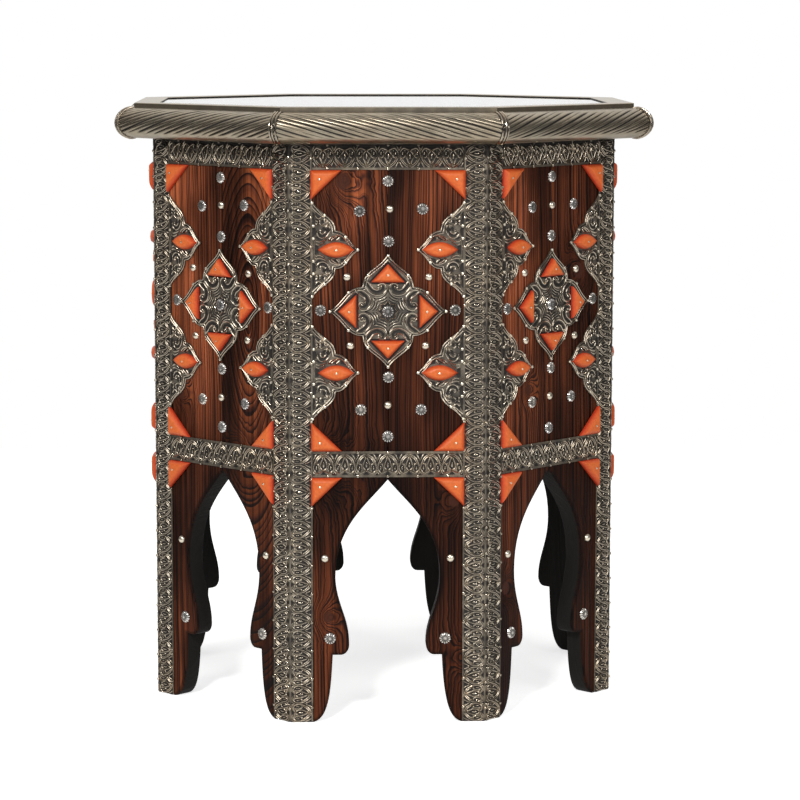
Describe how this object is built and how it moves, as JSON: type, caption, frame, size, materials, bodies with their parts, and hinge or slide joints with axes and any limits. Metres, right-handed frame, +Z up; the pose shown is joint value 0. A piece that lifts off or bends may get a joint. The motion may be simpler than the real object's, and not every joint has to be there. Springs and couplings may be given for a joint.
{
  "type": "side table",
  "caption": "Octagonal wooden side table on keel-arched legs, with chased metal strips, resin inlay and a glass-covered top inside a half-round metal rim.",
  "frame": {"origin": "middle of the footprint on the floor", "axes": "+Z up, -Y out of the front face, +X to the right of the front face"},
  "size_m": [0.5004, 0.5004, 0.56],
  "materials": {
    "burnt_pine": "burnt and brushed pine under a satin varnish",
    "nickel_silver": "chased sheet with dark patina in the recesses",
    "clear_glass": "clear, polished"
  },
  "bodies": {
    "root": {"side_1_left_plank": "burnt_pine", "side_1_right_plank": "burnt_pine", "side_2_left_plank": "burnt_pine", "side_2_right_plank": "burnt_pine", "side_3_left_plank": "burnt_pine", "side_3_right_plank": "burnt_pine", "side_4_left_plank": "burnt_pine", "side_4_right_plank": "burnt_pine", "side_5_left_plank": "burnt_pine", "side_5_right_plank": "burnt_pine", "side_6_left_plank": "burnt_pine", "side_6_right_plank": "burnt_pine", "side_7_left_plank": "burnt_pine", "side_7_right_plank": "burnt_pine", "side_8_left_plank": "burnt_pine", "side_8_right_plank": "burnt_pine", "top_board": "burnt_pine", "glass_top": "clear_glass", "top_border": "nickel_silver", "side_1_rim_moulding": "nickel_silver", "side_1_waist_band": "nickel_silver", "side_1_top_band": "nickel_silver", "side_1_medallion": "nickel_silver", "corner_strip_1": "nickel_silver", "side_2_rim_moulding": "nickel_silver", "side_2_waist_band": "nickel_silver", "side_2_top_band": "nickel_silver", "side_2_medallion": "nickel_silver", "corner_strip_2": "nickel_silver", "side_3_rim_moulding": "nickel_silver", "side_3_waist_band": "nickel_silver", "side_3_top_band": "nickel_silver", "side_3_medallion": "nickel_silver", "corner_strip_3": "nickel_silver", "side_4_rim_moulding": "nickel_silver", "side_4_waist_band": "nickel_silver", "side_4_top_band": "nickel_silver", "side_4_medallion": "nickel_silver", "corner_strip_4": "nickel_silver", "side_5_rim_moulding": "nickel_silver", "side_5_waist_band": "nickel_silver", "side_5_top_band": "nickel_silver", "side_5_medallion": "nickel_silver", "corner_strip_5": "nickel_silver", "side_6_rim_moulding": "nickel_silver", "side_6_waist_band": "nickel_silver", "side_6_top_band": "nickel_silver", "side_6_medallion": "nickel_silver", "corner_strip_6": "nickel_silver", "side_7_rim_moulding": "nickel_silver", "side_7_waist_band": "nickel_silver", "side_7_top_band": "nickel_silver", "side_7_medallion": "nickel_silver", "corner_strip_7": "nickel_silver", "side_8_rim_moulding": "nickel_silver", "side_8_waist_band": "nickel_silver", "side_8_top_band": "nickel_silver", "side_8_medallion": "nickel_silver", "corner_strip_8": "nickel_silver"}
  },
  "joints": []
}
